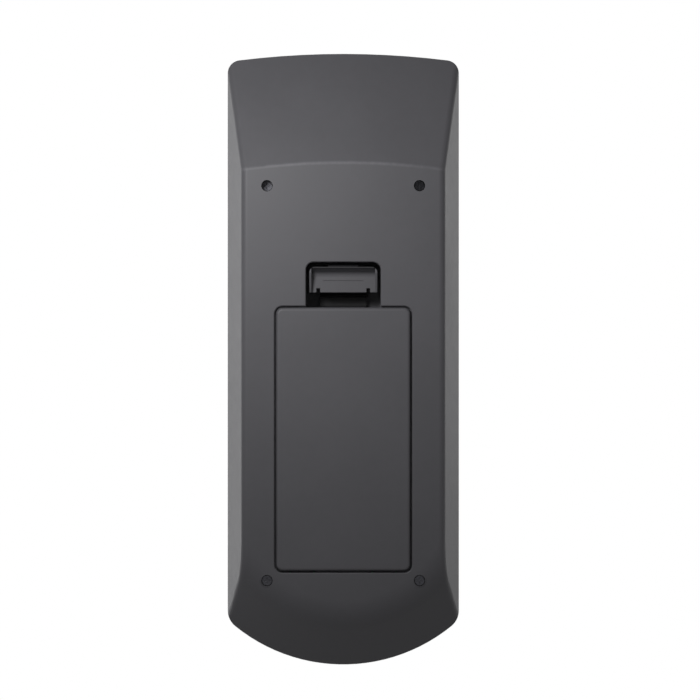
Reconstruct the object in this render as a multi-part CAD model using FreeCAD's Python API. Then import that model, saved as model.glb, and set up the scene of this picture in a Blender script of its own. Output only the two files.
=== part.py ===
# Remote control of an audio-video receiver: a two-part case, sprung keys, a battery door with its
# spring latch, two AA cells, their contacts, the key mat and the board.
# Millimetres. The keys face +Z and the infra-red end points along +Y.
# The origin is on the flat back, under the middle of the case.
import FreeCAD, Part
import math
import os

os.makedirs("parts", exist_ok=True)

# Case, as read off the picture of the back
case_width = 62.0
case_length = 163.8
case_depth = 24.5
parting_height = 10.5
head_arc_radius = 226.0
head_corner_radius = 3.5
tail_corner_radius = 5.5
least_corner_radius = 0.8

# Rear housing: drafted sides, a head end that slopes up from a ridge, and a coned tail
rear_wall = 2.0
side_draft = 0.39
back_edge_radius = 1.8
ridge_inset = 29.3
head_slope = 0.35
ridge_rounding = 2.5
tail_slope = 0.82
tail_rounding = 12.0
tail_side_margin = 2.0
least_rounding = 0.4
head_cut_sweep = 30.0
tail_cut_sweep = 180.0
mouth_edge_cut = 0.25

# Front housing
front_wall = 2.0
front_face_wall = 1.8
front_edge_radius = 2.5

# Lip of the rear housing inside the front one
lip_height = 1.0
lip_wall = 0.85
lip_gap = 0.15

# Case screws: two near the head, sunk deep, and two near the tail
screw_x = 20.4
head_screw_inset = 35.5
tail_screw_inset = 22.7
head_screw_depth = 7.0
tail_screw_depth = 2.6
head_boss_joint = 10.5
tail_boss_joint = 6.0
screw_head_radius = 1.35
screw_head_height = 1.2
screw_shank_radius = 0.85
screw_length = 9.0
screw_slot_width = 0.45
screw_slot_length = 1.9
screw_slot_depth = 0.5
screw_clearance = 0.15
pilot_clearance = 0.05
boss_wall = 1.2
boss_joint_gap = 0.1
pilot_spare_depth = 1.0

# AA cells, side by side and turned opposite ways
cell_radius = 7.25
cell_length = 50.5
cell_nub_radius = 2.75
cell_nub_height = 1.0
cell_edge = 0.5
cell_spacing = 14.9
cell_clearance = 0.35
cell_door_gap = 0.35

# Battery door
door_width = 36.1
door_tail_inset = 25.15
door_thickness = 1.7
door_recess = 0.15
door_gap = 0.35
door_seat_gap = 0.05
door_corner_radius = 1.8
door_edge_radius = 0.9
door_rib_width = 1.1
door_rib_height = 2.4
door_rib_end_gap = 6.0
ledge_thickness = 1.4
opening_wall = 1.3

# Tongues that hook the door under the skin at its tail
tongue_x = 11.0
tongue_width = 6.0
tongue_reach = 2.5
tongue_thickness = 1.3
tongue_root = 1.6
tongue_skin_gap = 0.2
tongue_side_gap = 0.4
tongue_swing_y = 4.6
tongue_swing_z = 2.0

# Battery tub. The door reaches past its ends
door_tail_reach = 6.45
door_head_reach = 5.85
tub_wall = 1.4
tub_roof = 1.1
tub_edge_radius = 2.0
tub_board_gap = 0.15

# Battery contacts: sheet plates, with a coil spring on each negative one
plate_thickness = 0.4
plate_width = 10.4
plate_low = 3.2
plate_high = 15.2
plate_edge_radius = 1.2
tab_width = 2.2
tab_slot_gap = 0.2
spring_wire_radius = 0.3
spring_base_radius = 4.3
spring_tip_radius = 3.1
spring_turns = 3
spring_arcs_per_turn = 2
spring_points_per_turn = 48
spring_wire_sides = 8
spring_cell_gap = 0.05
spring_room = 6.7
spring_foot = 0.6
spring_foot_bend = 0.7
contact_bump_radius = 2.2
contact_bump_height = 0.3
bridge_low = 7.6
bridge_high = 10.2

# Latch: a finger cup on a leg that flexes from the bend of the door's spring arm
well_width = 20.0
well_length = 12.15
well_depth = 14.5
well_wall = 1.2
well_corner_radius = 2.1
latch_side_gap = 0.9
latch_head_gap = 1.3
latch_length = 6.8
latch_recess = 1.2
latch_corner_radius = 1.5
cup_floor = 4.3
cup_floor_thickness = 1.1
cup_rim = 0.2
cup_side_wall = 0.55
cup_side_start = 1.6
cup_side_fall = 2.4
cup_slope_run = 1.5
cup_slope_rounding = 1.6
cup_step_inset = 2.85
cup_step_length = 10.6
cup_step_width = 0.35
cup_step_depth = 0.15
nose_width = 8.0
nose_reach = 0.7
nose_low = 2.4
nose_high = 4.6
arm_width = 12.4
arm_thickness = 1.2
arm_inset = 0.15
notch_width = 1.0
notch_length = 1.1
leg_thickness = 1.0
latch_pivot_inset = 0.5
latch_pivot_z = 11.6
bead_radius = 0.95
bead_clearance = 0.08
trough_wall = 0.75
trough_mouth_angle = 50.0

# Keys: caps that stand through the front, held in by flanges below it
key_height = 1.2
key_side_gap = 0.3
key_flange_overlap = 0.6
key_flange_thickness = 0.8
key_flange_gap = 0.3
key_travel = 0.8
key_travel_spare = 0.1
key_chamfer = 0.3

# Places of the keys on the front, from its head end and its sides
power_key_radius = 3.6
power_key_inset = 11.9
power_key_side = 12.0
input_row_insets = (21.5, 28.7)
input_key_side = 12.1
input_key_gap = 3.0
level_row_insets = (43.3, 50.9)
level_key_side = 12.1
mute_key_inset = 47.1
cursor_inset = 73.9
cursor_inner_radius = 7.9
cursor_outer_radius = 15.0
cursor_web = 3.6
enter_key_radius = 5.3
corner_key_radius = 3.3
corner_key_side = 9.5
corner_key_dy = 12.5
transport_row_insets = (97.1, 104.3)
transport_column_pitch = 14.4
number_row_inset = 113.5
number_row_pitch = 8.0
number_column_pitch = 12.4
wide_key_width = 9.6
wide_key_length = 4.6
tall_key_length = 5.6
number_key_width = 8.6
number_key_length = 5.2
key_corner_cut = 1.0

# Key mat and board
mat_thickness = 0.6
mat_pad_height = 0.6
mat_pad_width = 4.4
mat_pad_length = 2.8
board_thickness = 1.2
board_edge_gap = 1.6
mat_edge_gap = 2.0
mat_boss_gap = 0.7
board_boss_gap = 0.4

# Infra-red window and its emitters
window_width = 26.0
window_foot = 1.5
window_top_inset = 4.0
window_gap = 0.15
window_flange = 1.1
window_flange_thickness = 1.1
window_recess = 0.1
emitter_spacing = 12.0
emitter_radius = 2.5
emitter_lens_radius = 1.3
emitter_rim = 0.4
emitter_rim_thickness = 1.0
emitter_body = 5.4
emitter_tip_gap = 1.2
emitter_lead = 0.5
emitter_lead_spacing = 2.54
emitter_lead_run = 3.0
emitter_board_gap = 0.4

# Parts under the board, in the head end
chip_size = 10.0
chip_thickness = 1.5
chip_inset = 31.9
chip_lead_reach = 1.0
chip_lead_width = 0.4
chip_lead_thickness = 0.2
chip_lead_pitch = 1.6
chip_leads_per_side = 5
chip_standoff = 0.1
resonator_width = 7.4
resonator_length = 3.0
resonator_height = 3.5
resonator_end_radius = 0.9
resonator_x = -13.0
resonator_inset = 45.9
capacitor_radius = 3.1
capacitor_height = 7.0
capacitor_x = 16.0
capacitor_inset = 43.9

# Levels that follow from the sizes above
spill = 1.0
half_width = case_width / 2
half_length = case_length / 2
back_half_width = half_width - side_draft * parting_height
tail_rounding_run = tail_rounding * math.tan(math.atan(tail_slope) / 2)
tail_cone_foot = back_half_width + tail_side_margin + tail_rounding_run
tail_arc_radius = tail_cone_foot + parting_height / tail_slope
head_axis_y = half_length - head_arc_radius
tail_axis_y = tail_arc_radius - half_length
ridge_y = half_length - ridge_inset
head_screw_y = half_length - head_screw_inset
tail_screw_y = tail_screw_inset - half_length
door_inner = door_recess + door_thickness
ledge_level = door_inner + door_seat_gap
door_tail_y = door_tail_inset - half_length
tub_tail_y = door_tail_y + door_tail_reach
tub_length = cell_length + 2 * plate_thickness + contact_bump_height + spring_room
tub_head_y = tub_tail_y + tub_length
door_head_y = tub_head_y + door_head_reach
well_head_y = door_head_y + well_length
latch_head_y = well_head_y - latch_head_gap
latch_tail_y = latch_head_y - latch_length
latch_pivot_y = latch_tail_y + latch_pivot_inset
cell_z = door_inner + cell_door_gap + cell_radius
tub_roof_inner = cell_z + cell_radius + cell_clearance
tub_top = tub_roof_inner + tub_roof
tub_x = cell_spacing / 2 + cell_radius + cell_clearance + tub_wall
face_inner = case_depth - front_face_wall
key_flange_top = face_inner - key_flange_gap
key_bottom = key_flange_top - key_flange_thickness
mat_pad_top = key_bottom - key_travel - key_travel_spare
mat_top = mat_pad_top - mat_pad_height
board_top = mat_top - mat_thickness
board_bottom = board_top - board_thickness
window_low = parting_height + window_foot
window_high = case_depth - window_top_inset
chip_y = half_length - chip_inset
resonator_y = half_length - resonator_inset
capacitor_y = half_length - capacitor_inset
cursor_y = half_length - cursor_inset
opening_half = door_width / 2 + door_gap
opening_tail_y = door_tail_y - door_gap
opening_head_y = door_head_y + door_gap


def point(x, y, z):
    return FreeCAD.Vector(x, y, z)


def box(x0, x1, y0, y1, z0, z1):
    return Part.makeBox(x1 - x0, y1 - y0, z1 - z0, point(x0, y0, z0))


def upright(radius, x, y, z0, z1):
    """A round rod along Z."""
    return Part.makeCylinder(radius, z1 - z0, point(x, y, z0))


def arc(start, middle, end):
    return Part.Arc(start, middle, end).toShape()


def line(start, end):
    return Part.LineSegment(start, end).toShape()


def in_plan(z):
    """Places flat points (u, v) at x = u, y = v on the level z."""
    return lambda u, v: point(u, v, z)


def in_section(x):
    """Places flat points (u, v) at y = u, z = v on the section plane at x."""
    return lambda u, v: point(x, u, v)


def rounded_wire(corners, place):
    """A closed wire through corners (u, v, radius), each rounded by its radius."""
    edges = []
    for i, (u, v, radius) in enumerate(corners):
        before, after = corners[i - 1], corners[(i + 1) % len(corners)]
        here = point(u, v, 0)
        back = (point(before[0], before[1], 0) - here).normalize()
        ahead = (point(after[0], after[1], 0) - here).normalize()
        half_angle = back.getAngle(ahead) / 2
        run = radius / math.tan(half_angle)
        start, end = here + back * run, here + ahead * run
        if radius > 0:
            centre = here + (back + ahead).normalize() * (radius / math.sin(half_angle))
            middle = centre + (here - centre).normalize() * radius
            rounding = arc(place(start.x, start.y), place(middle.x, middle.y), place(end.x, end.y))
        else:
            rounding = None
        edges.append((start, rounding, end))
    closed = []
    for i, (start, rounding, end) in enumerate(edges):
        if rounding is not None:
            closed.append(rounding)
        following = edges[(i + 1) % len(edges)][0]
        closed.append(line(place(end.x, end.y), place(following.x, following.y)))
    return Part.Wire(closed)


def prism(wire, along):
    return Part.Face(wire).extrude(along)


def plan_block(x0, x1, y0, y1, radius, z0, z1):
    """A block along Z with its four upright edges rounded."""
    corners = [(x0, y0, radius), (x1, y0, radius), (x1, y1, radius), (x0, y1, radius)]
    return prism(rounded_wire(corners, in_plan(z0)), point(0, 0, z1 - z0))


def joined(first, *others):
    return first.fuse(list(others)).removeSplitter()


def edges_on_level(shape, z, keep):
    """The edges that lie on the level z and whose middle passes the test keep."""
    chosen = []
    for edge in shape.Edges:
        bounds = edge.BoundBox
        if abs(bounds.ZMin - z) < 1e-4 and abs(bounds.ZMax - z) < 1e-4 and keep(bounds.Center):
            chosen.append(edge)
    return chosen


def write(name, shape):
    shape.exportStep("parts/" + name + ".step")


# Outer form of the case
def end_corner(axis_y, arc_radius, corner_radius, side_x, sign):
    """Where the corner between a straight side and an end arc starts, turns and ends."""
    x = side_x - corner_radius
    y = axis_y + sign * math.sqrt((arc_radius - corner_radius) ** 2 - x**2)
    angle = math.atan2(y - axis_y, x)
    turn = (x + corner_radius * math.cos(angle / 2), y + corner_radius * math.sin(angle / 2))
    end = (x + corner_radius * math.cos(angle), y + corner_radius * math.sin(angle))
    return (side_x, y), turn, end


def case_outline(inset, z):
    """The outline of the case seen from above, moved inwards by inset."""
    side_x = half_width - inset
    head_radius = head_arc_radius - inset
    tail_radius = tail_arc_radius - inset
    head_corner = max(head_corner_radius - inset, least_corner_radius)
    tail_corner = max(tail_corner_radius - inset, least_corner_radius)
    head = end_corner(head_axis_y, head_radius, head_corner, side_x, 1)
    tail = end_corner(tail_axis_y, tail_radius, tail_corner, side_x, -1)

    def right(place):
        return point(place[0], place[1], z)

    def left(place):
        return point(-place[0], place[1], z)

    head_tip = point(0, head_axis_y + head_radius, z)
    tail_tip = point(0, tail_axis_y - tail_radius, z)
    return Part.Wire([
        line(right(tail[0]), right(head[0])),
        arc(right(head[0]), right(head[1]), right(head[2])),
        arc(right(head[2]), head_tip, left(head[2])),
        arc(left(head[2]), left(head[1]), left(head[0])),
        line(left(head[0]), left(tail[0])),
        arc(left(tail[0]), left(tail[1]), left(tail[2])),
        arc(left(tail[2]), tail_tip, right(tail[2])),
        arc(right(tail[2]), right(tail[1]), right(tail[0])),
    ])


def case_prism(inset, z0, z1):
    return prism(case_outline(inset, z0), point(0, 0, z1 - z0))


def under_slope(floor_radius, slope, rounding, inset, reach):
    """Section of what lies below a floor at the height inset that turns up into a slope.

    It stands in the plane y = 0, with x as the distance from the axis that it turns about."""
    lean = math.atan(slope)
    lift = inset * math.sqrt(1 + slope**2)
    knee = floor_radius - (lift - inset) / slope
    radius = max(rounding - inset, least_rounding)
    run = radius * math.tan(lean / 2)
    start = point(knee - run, 0, inset)
    middle = start + point(radius * math.sin(lean / 2), 0, radius * (1 - math.cos(lean / 2)))
    end = point(knee + run * math.cos(lean), 0, inset + run * math.sin(lean))
    far = point(reach, 0, end.z + (reach - end.x) * slope)
    below = inset - spill
    return Part.Wire([
        arc(start, middle, end),
        line(end, far),
        line(far, point(reach, 0, below)),
        line(point(reach, 0, below), point(start.x, 0, below)),
        line(point(start.x, 0, below), start),
    ])


def turned(wire, axis_y, middle_angle, sweep):
    """The section turned about an upright axis through sweep degrees, half to each side of the angle."""
    section = Part.Face(wire)
    section.rotate(point(0, 0, 0), point(0, 0, 1), middle_angle - sweep / 2)
    section.translate(point(0, axis_y, 0))
    return section.revolve(point(0, axis_y, 0), point(0, 0, 1), sweep)


def rear_form(inset, top):
    """The rear housing as a full block, with every wall moved inwards by inset.

    Its back edges are rounded before its ends are cut to the outline, so one rounding runs the whole length."""
    side_inset = inset * math.sqrt(1 + side_draft**2)
    foot = half_width - side_inset - side_draft * (parting_height - inset)
    crown = foot + side_draft * (top - inset)
    start_y = -half_length - spill
    section = [(-foot, inset), (foot, inset), (crown, top), (-crown, top), (-foot, inset)]
    block = prism(Part.makePolygon([point(u, start_y, v) for u, v in section]), point(0, -2 * start_y, 0))
    ridge_radius = ridge_y - head_axis_y
    head_cut = under_slope(ridge_radius, head_slope, ridge_rounding, inset, head_arc_radius + half_width)
    tail_cut = under_slope(tail_cone_foot, tail_slope, tail_rounding, inset, tail_arc_radius + half_width)
    block = block.cut(turned(head_cut, head_axis_y, 90, head_cut_sweep))
    block = block.cut(turned(tail_cut, tail_axis_y, 270, tail_cut_sweep))
    rims = []
    for edge in block.Edges:
        middle = edge.valueAt((edge.FirstParameter + edge.LastParameter) / 2)
        on_side = abs(abs(middle.x) - foot - side_draft * (middle.z - inset)) < 1e-4
        if on_side and middle.z < top - 1e-4 and abs(middle.y) < -start_y - 1e-4:
            rims.append(edge)
    block = block.makeFillet(max(back_edge_radius - inset, least_rounding), rims)
    return block.common(case_prism(inset, inset - spill, top + spill))


# Screw places
head_screws = [(-screw_x, head_screw_y), (screw_x, head_screw_y)]
tail_screws = [(-screw_x, tail_screw_y), (screw_x, tail_screw_y)]
screw_places = [(x, y, head_screw_depth, head_boss_joint) for x, y in head_screws]
screw_places += [(x, y, tail_screw_depth, tail_boss_joint) for x, y in tail_screws]
rear_boss_radius = screw_head_radius + screw_clearance + boss_wall
front_boss_radius = screw_shank_radius + pilot_clearance + boss_wall


# Rear housing
def tub_block():
    """The outside of the battery tub, the latch well and the frame round the door opening."""
    tub = box(-tub_x, tub_x, tub_tail_y - tub_wall, tub_head_y + tub_wall, rear_wall / 2, tub_top)
    long_edges = [e for e in tub.Edges if e.BoundBox.ZMin > tub_top - 1e-4 and e.BoundBox.YLength > 1]
    tub = tub.makeFillet(tub_edge_radius, long_edges)
    well_x = well_width / 2 + well_wall
    well = box(-well_x, well_x, tub_head_y, well_head_y + well_wall, rear_wall / 2, well_depth + well_wall)
    frame_x = opening_half + opening_wall
    frame_y = opening_tail_y - opening_wall, opening_head_y + opening_wall
    frame = box(-frame_x, frame_x, *frame_y, rear_wall / 2, ledge_level + ledge_thickness)
    return joined(tub, well, frame)


def tub_hollows():
    """The room for the door, the cells, the latch and the swing of the door's tongues."""
    mouth_corner = door_corner_radius + door_gap
    mouth = (-opening_half, opening_half, opening_tail_y, opening_head_y)
    hollows = [plan_block(*mouth, mouth_corner, -spill, ledge_level)]
    trough = cell_radius + cell_clearance
    for x in (-cell_spacing / 2, cell_spacing / 2):
        hollows.append(box(x - trough, x + trough, tub_tail_y, tub_head_y, 0, cell_z))
        start = point(x, tub_tail_y, cell_z)
        hollows.append(Part.makeCylinder(trough, tub_head_y - tub_tail_y, start, point(0, 1, 0)))
    x = well_width / 2
    well_tail_y = tub_head_y + tub_wall
    corners = [
        (-x, well_tail_y, 0),
        (x, well_tail_y, 0),
        (x, well_head_y, well_corner_radius),
        (-x, well_head_y, well_corner_radius),
    ]
    deep = prism(rounded_wire(corners, in_plan(ledge_level)), point(0, 0, well_depth - ledge_level))
    corners[:2] = [(-x, door_head_y, 0), (x, door_head_y, 0)]
    pocket = prism(rounded_wire(corners, in_plan(-spill)), point(0, 0, well_depth + spill))
    hollows += [deep, pocket]
    for side in (-1, 1):
        x0 = side * tongue_x - tongue_width / 2 - tongue_side_gap
        x1 = side * tongue_x + tongue_width / 2 + tongue_side_gap
        y0 = door_tail_y - tongue_reach - tongue_side_gap
        y1 = door_tail_y + tongue_swing_y
        top = ledge_level + tongue_swing_z + tongue_thickness
        hollows.append(box(x0, x1, y0, y1, rear_wall, top))
        hollows.append(box(x0, x1, opening_tail_y, y1, door_inner, top))
    return hollows


def tab_slots():
    """Slots in the tub's roof for the two contacts that reach the board."""
    half = tab_width / 2 + tab_slot_gap
    y0, y1 = tub_head_y - plate_thickness - tab_slot_gap, tub_head_y
    return [
        box(x - half, x + half, y0, y1, tub_roof_inner - spill, tub_top + spill)
        for x in (-cell_spacing / 2, cell_spacing / 2)
    ]


def rear_housing():
    shell = rear_form(0, parting_height).cut(rear_form(rear_wall, parting_height + spill))
    lip_outer = front_wall - lip_wall
    low, high = parting_height - lip_wall, parting_height + lip_height
    lip = case_prism(lip_outer, low, high).cut(case_prism(front_wall, low - spill, high + spill))
    lip = lip.common(rear_form(0, high))
    bosses = [
        upright(rear_boss_radius, x, y, rear_wall / 2, joint - boss_joint_gap)
        for x, y, depth, joint in screw_places
    ]
    body = joined(shell, lip, tub_block(), *bosses)
    body = body.cut(tub_hollows() + tab_slots())
    for x, y, depth, joint in screw_places:
        sink = upright(screw_head_radius + screw_clearance, x, y, -spill, depth)
        shank = upright(screw_shank_radius + screw_clearance, x, y, 0, joint + spill)
        body = body.cut([sink, shank])
    rim = edges_on_level(body, 0, lambda c: inside_mouth_rim(c))
    return body.makeChamfer(mouth_edge_cut, rim)


def inside_mouth_rim(centre):
    """True for the edges of the door opening and the latch pocket in the back face."""
    within_x = abs(centre.x) < opening_half + spill
    return within_x and opening_tail_y - spill < centre.y < well_head_y + spill


# Battery door
def door_tongue(side):
    x0 = side * tongue_x - tongue_width / 2
    x1 = side * tongue_x + tongue_width / 2
    low = rear_wall + tongue_skin_gap
    high = low + tongue_thickness
    root = box(x0, x1, door_tail_y, door_tail_y + tongue_root, door_recess + door_thickness / 2, high)
    tip = box(x0, x1, door_tail_y - tongue_reach, door_tail_y + tongue_root, low, high)
    return joined(root, tip)


def spring_arm():
    """The door's half of the U spring: a leg, the bend and the trough that carries the latch."""
    x0 = -arm_width / 2
    bend_bottom = latch_pivot_z + bead_radius + bead_clearance + trough_wall
    arm_head_y = door_head_y - arm_inset
    tail_y = arm_head_y - arm_thickness
    corners = [
        (tail_y, door_recess + door_thickness / 2, 0),
        (arm_head_y, door_recess + door_thickness / 2, 0),
        (arm_head_y, bend_bottom - arm_thickness, arm_thickness),
        (latch_pivot_y, bend_bottom - arm_thickness, 0),
        (latch_pivot_y, bend_bottom, 0),
        (tail_y, bend_bottom, 2 * arm_thickness),
    ]
    arm = prism(rounded_wire(corners, in_section(x0)), point(arm_width, 0, 0))
    pivot = point(x0, latch_pivot_y, latch_pivot_z)
    outer = bead_radius + bead_clearance + trough_wall
    trough = Part.makeCylinder(outer, arm_width, pivot, point(1, 0, 0))
    half_mouth = 2 * outer * math.tan(math.radians(trough_mouth_angle))
    mouth_top = latch_pivot_z - 2 * outer
    mouth = prism(rounded_wire([
        (latch_pivot_y, latch_pivot_z, 0),
        (latch_pivot_y - half_mouth, mouth_top, 0),
        (latch_pivot_y + half_mouth, mouth_top, 0),
    ], in_section(x0)), point(arm_width, 0, 0))
    bore = Part.makeCylinder(bead_radius + bead_clearance, arm_width, pivot, point(1, 0, 0))
    return joined(arm, trough).cut([mouth, bore])


def battery_door():
    x = door_width / 2
    plan = (-x, x, door_tail_y, door_head_y, door_corner_radius)
    plate = plan_block(*plan, door_recess, door_inner)
    rim = edges_on_level(plate, door_recess, lambda c: True)
    plate = plate.makeFillet(door_edge_radius, rim)
    rib = box(-door_rib_width / 2, door_rib_width / 2, tub_tail_y + door_rib_end_gap,
              tub_head_y - door_rib_end_gap, door_recess + door_thickness / 2,
              door_inner + door_rib_height)
    return joined(plate, rib, door_tongue(-1), door_tongue(1), spring_arm())


def door_latch():
    """The finger cup with its catch nose, and the leg that ends in a bead in the door's trough."""
    x = well_width / 2 - latch_side_gap
    under = cup_floor + cup_floor_thickness
    blank = plan_block(-x, x, latch_tail_y, latch_head_y, latch_corner_radius, latch_recess, under)
    blank = joined(blank, box(-x, x, latch_tail_y, latch_head_y - latch_corner_radius, latch_recess, under))
    rim_y = latch_head_y - cup_rim
    slope_end_y = rim_y - cup_slope_run
    cup_x = x - cup_side_wall
    above = latch_recess - spill
    tail = latch_tail_y - spill
    hollow = prism(rounded_wire([
        (tail, above, 0),
        (tail, cup_floor, 0),
        (slope_end_y, cup_floor, cup_slope_rounding),
        (rim_y, latch_recess, 0),
        (rim_y, above, 0),
    ], in_section(-cup_x)), point(2 * cup_x, 0, 0))
    side_start_y = latch_head_y - cup_side_start
    side_fall = prism(rounded_wire([
        (side_start_y, above, 0),
        (side_start_y, latch_recess, 0),
        (tail, latch_recess + cup_side_fall, 0),
        (tail, above, 0),
    ], in_section(-x - spill)), point(2 * (x + spill), 0, 0))
    cup_step_y = latch_tail_y + cup_step_inset
    step = box(-cup_step_length / 2, cup_step_length / 2, cup_step_y, cup_step_y + cup_step_width,
               cup_floor - spill, cup_floor + cup_step_depth)
    cup = blank.cut([hollow, side_fall, step])
    notch_x = arm_width / 2
    for x0 in (-notch_x - notch_width, notch_x):
        notch = box(x0, x0 + notch_width, latch_tail_y - spill, latch_tail_y + notch_length,
                    cup_floor - spill, under + spill)
        cup = cup.cut(notch)
    nose_mid = (nose_low + nose_high) / 2
    nose = prism(rounded_wire([
        (latch_head_y - cup_rim / 2, nose_low, 0),
        (latch_head_y, nose_low, 0),
        (latch_head_y + nose_reach, nose_mid, 0),
        (latch_head_y, nose_high, 0),
        (latch_head_y - cup_rim / 2, nose_high, 0),
    ], in_section(-nose_width / 2)), point(nose_width, 0, 0))
    leg = box(-notch_x, notch_x, latch_pivot_y - leg_thickness / 2, latch_pivot_y + leg_thickness / 2,
              cup_floor + cup_floor_thickness / 2, latch_pivot_z)
    pivot = point(-notch_x, latch_pivot_y, latch_pivot_z)
    bead = Part.makeCylinder(bead_radius, arm_width, pivot, point(1, 0, 0))
    return joined(cup, nose, leg, bead)


# Cells and contacts
def aa_cell(x, nub_direction):
    """A cell along Y. Its nub just meets the plate at the end that nub_direction points to."""
    if nub_direction > 0:
        tip_y = tub_head_y - plate_thickness - contact_bump_height
    else:
        tip_y = tub_tail_y + plate_thickness + contact_bump_height
    along = point(0, -nub_direction, 0)
    can_start = point(x, tip_y - nub_direction * cell_nub_height, cell_z)
    can = Part.makeCylinder(cell_radius, cell_length - cell_nub_height, can_start, along)
    can = can.makeChamfer(cell_edge, [e for e in can.Edges if len(e.Vertexes) == 1])
    nub_length = cell_nub_height + cell_edge
    nub = Part.makeCylinder(cell_nub_radius, nub_length, point(x, tip_y, cell_z), along)
    return joined(can, nub)


def spring_line(x, base_y, direction, turn):
    """A point of the spring's middle line after so many turns, and its direction there."""
    free = spring_room - spring_wire_radius - spring_cell_gap
    start_y = base_y + direction * spring_foot_height
    rise = direction * (free - spring_foot_height) / spring_turns
    taper = (spring_tip_radius - spring_base_radius) / spring_turns
    radius = spring_base_radius + taper * turn
    angle = 2 * math.pi * turn
    sine, cosine = math.sin(angle), math.cos(angle)
    place = point(x + radius * cosine, start_y + rise * turn, cell_z + radius * sine)
    heading = point(
        taper * cosine - 2 * math.pi * radius * sine,
        rise,
        taper * sine + 2 * math.pi * radius * cosine,
    )
    return place, heading.normalize()


def biarc(start, leaving, end, arriving):
    """Two arcs that meet smoothly, from start to end, with the given directions at both ends."""
    chord = end - start
    spread = 2 * (1 - leaving.dot(arriving))
    along = chord.dot(leaving + arriving)
    reach = (math.sqrt(along**2 + spread * chord.dot(chord)) - along) / spread
    first, second = start + leaving * reach, end - arriving * reach
    joint = (first + second) * 0.5
    return [bend(start, first, joint), bend(joint, second, end)]


def bend(start, corner, end):
    """The arc from start to end that is tangent to both legs of the corner."""
    middle = (start + end) * 0.5
    half_chord = (start - middle).Length
    height = (corner - middle).Length
    half_turn = math.atan2(height, half_chord)
    sagitta = half_chord * math.tan(half_turn / 2)
    return arc(start, middle + (corner - middle) * (sagitta / height), end)


spring_foot_height = spring_foot + spring_foot_bend


def contact_spring(x, base_y, direction):
    """A conical coil that stands on a contact plate and presses on the flat end of a cell."""
    edges = []
    place, heading = spring_line(x, base_y, direction, 0)
    foot = point(place.x, base_y, place.z) - heading * spring_foot_bend
    knee = foot + point(0, direction * spring_foot, 0)
    root = foot - point(0, direction * plate_thickness / 2, 0)
    edges.append(line(root, knee))
    edges.append(bend(knee, knee + point(0, direction * spring_foot_bend, 0), place))
    for step in range(spring_arcs_per_turn * spring_turns):
        start, leaving = spring_line(x, base_y, direction, step / spring_arcs_per_turn)
        end, arriving = spring_line(x, base_y, direction, (step + 1) / spring_arcs_per_turn)
        edges += biarc(start, leaving, end, arriving)
    edges.append(line(end, end + arriving * (2 * spring_wire_radius)))
    path = Part.Wire(edges)
    corners = []
    for side in range(spring_wire_sides + 1):
        angle = 2 * math.pi * (side + 0.5) / spring_wire_sides
        corners.append(root + point(math.cos(angle), 0, math.sin(angle)) * spring_wire_radius)
    section = Part.makePolygon(corners)
    tube = path.makePipeShell([section], True, False)
    print("spring at x", round(x, 2), "volume", round(tube.Volume, 3), "of",
          round(Part.Face(section).Area * path.Length, 3), "least gap",
          round(least_gap(x, base_y, direction), 3))
    return tube


def least_gap(x, base_y, direction):
    """The least clear distance between neighbouring turns, measured on points of the coil."""
    line_points = [
        spring_line(x, base_y, direction, i / spring_points_per_turn)[0]
        for i in range(spring_points_per_turn * spring_turns + 1)
    ]
    least = case_length
    for i, here in enumerate(line_points):
        for there in line_points[i + spring_points_per_turn // 2:]:
            least = min(least, here.distanceToPoint(there))
    return least - 2 * spring_wire_radius


def contact_plate(x, wall_y, direction):
    """A sheet plate on an end wall of the tub, with rounded corners."""
    half = plate_width / 2
    corners = [
        (x - half, plate_low, plate_edge_radius),
        (x + half, plate_low, plate_edge_radius),
        (x + half, plate_high, plate_edge_radius),
        (x - half, plate_high, plate_edge_radius),
    ]
    wire = rounded_wire(corners, lambda u, v: point(u, wall_y, v))
    return prism(wire, point(0, direction * plate_thickness, 0))


def contact_tab(x):
    """The tail of a head-end contact, through the tub's roof to the board."""
    y0 = tub_head_y - plate_thickness
    return box(x - tab_width / 2, x + tab_width / 2, y0, tub_head_y, plate_high - spill, board_bottom)


def contact_bump(x, plate_y, direction):
    """The raised round that a cell's nub presses on."""
    start = point(x, plate_y - direction * plate_thickness / 2, cell_z)
    height = contact_bump_height + plate_thickness / 2
    return Part.makeCylinder(contact_bump_radius, height, start, point(0, direction, 0))


left_x, right_x = -cell_spacing / 2, cell_spacing / 2
head_plate_y = tub_head_y - plate_thickness
tail_plate_y = tub_tail_y + plate_thickness


def contact_positive():
    plate = contact_plate(left_x, tub_head_y, -1)
    return joined(plate, contact_tab(left_x), contact_bump(left_x, head_plate_y, -1))


def contact_negative():
    plate = contact_plate(right_x, tub_head_y, -1)
    return joined(plate, contact_tab(right_x), contact_spring(right_x, head_plate_y, -1))


def contact_bridge():
    left = contact_plate(left_x, tub_tail_y, 1)
    right = contact_plate(right_x, tub_tail_y, 1)
    link = box(left_x, right_x, tub_tail_y, tail_plate_y, bridge_low, bridge_high)
    bump = contact_bump(right_x, tail_plate_y, 1)
    return joined(left, right, link, bump, contact_spring(left_x, tail_plate_y, 1))


# Keys
def cut_corner_block(x, y, w, l, cut, z0, z1):
    """A block about x, y that reaches w and l to its sides, with its upright corners cut off."""
    quarter = [(w, l - cut), (w - cut, l)]
    corners = quarter + [(-u, v) for u, v in reversed(quarter)]
    corners += [(-u, -v) for u, v in corners]
    outline = [point(x + u, y + v, z0) for u, v in corners]
    return prism(Part.makePolygon(outline + outline[:1]), point(0, 0, z1 - z0))


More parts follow.
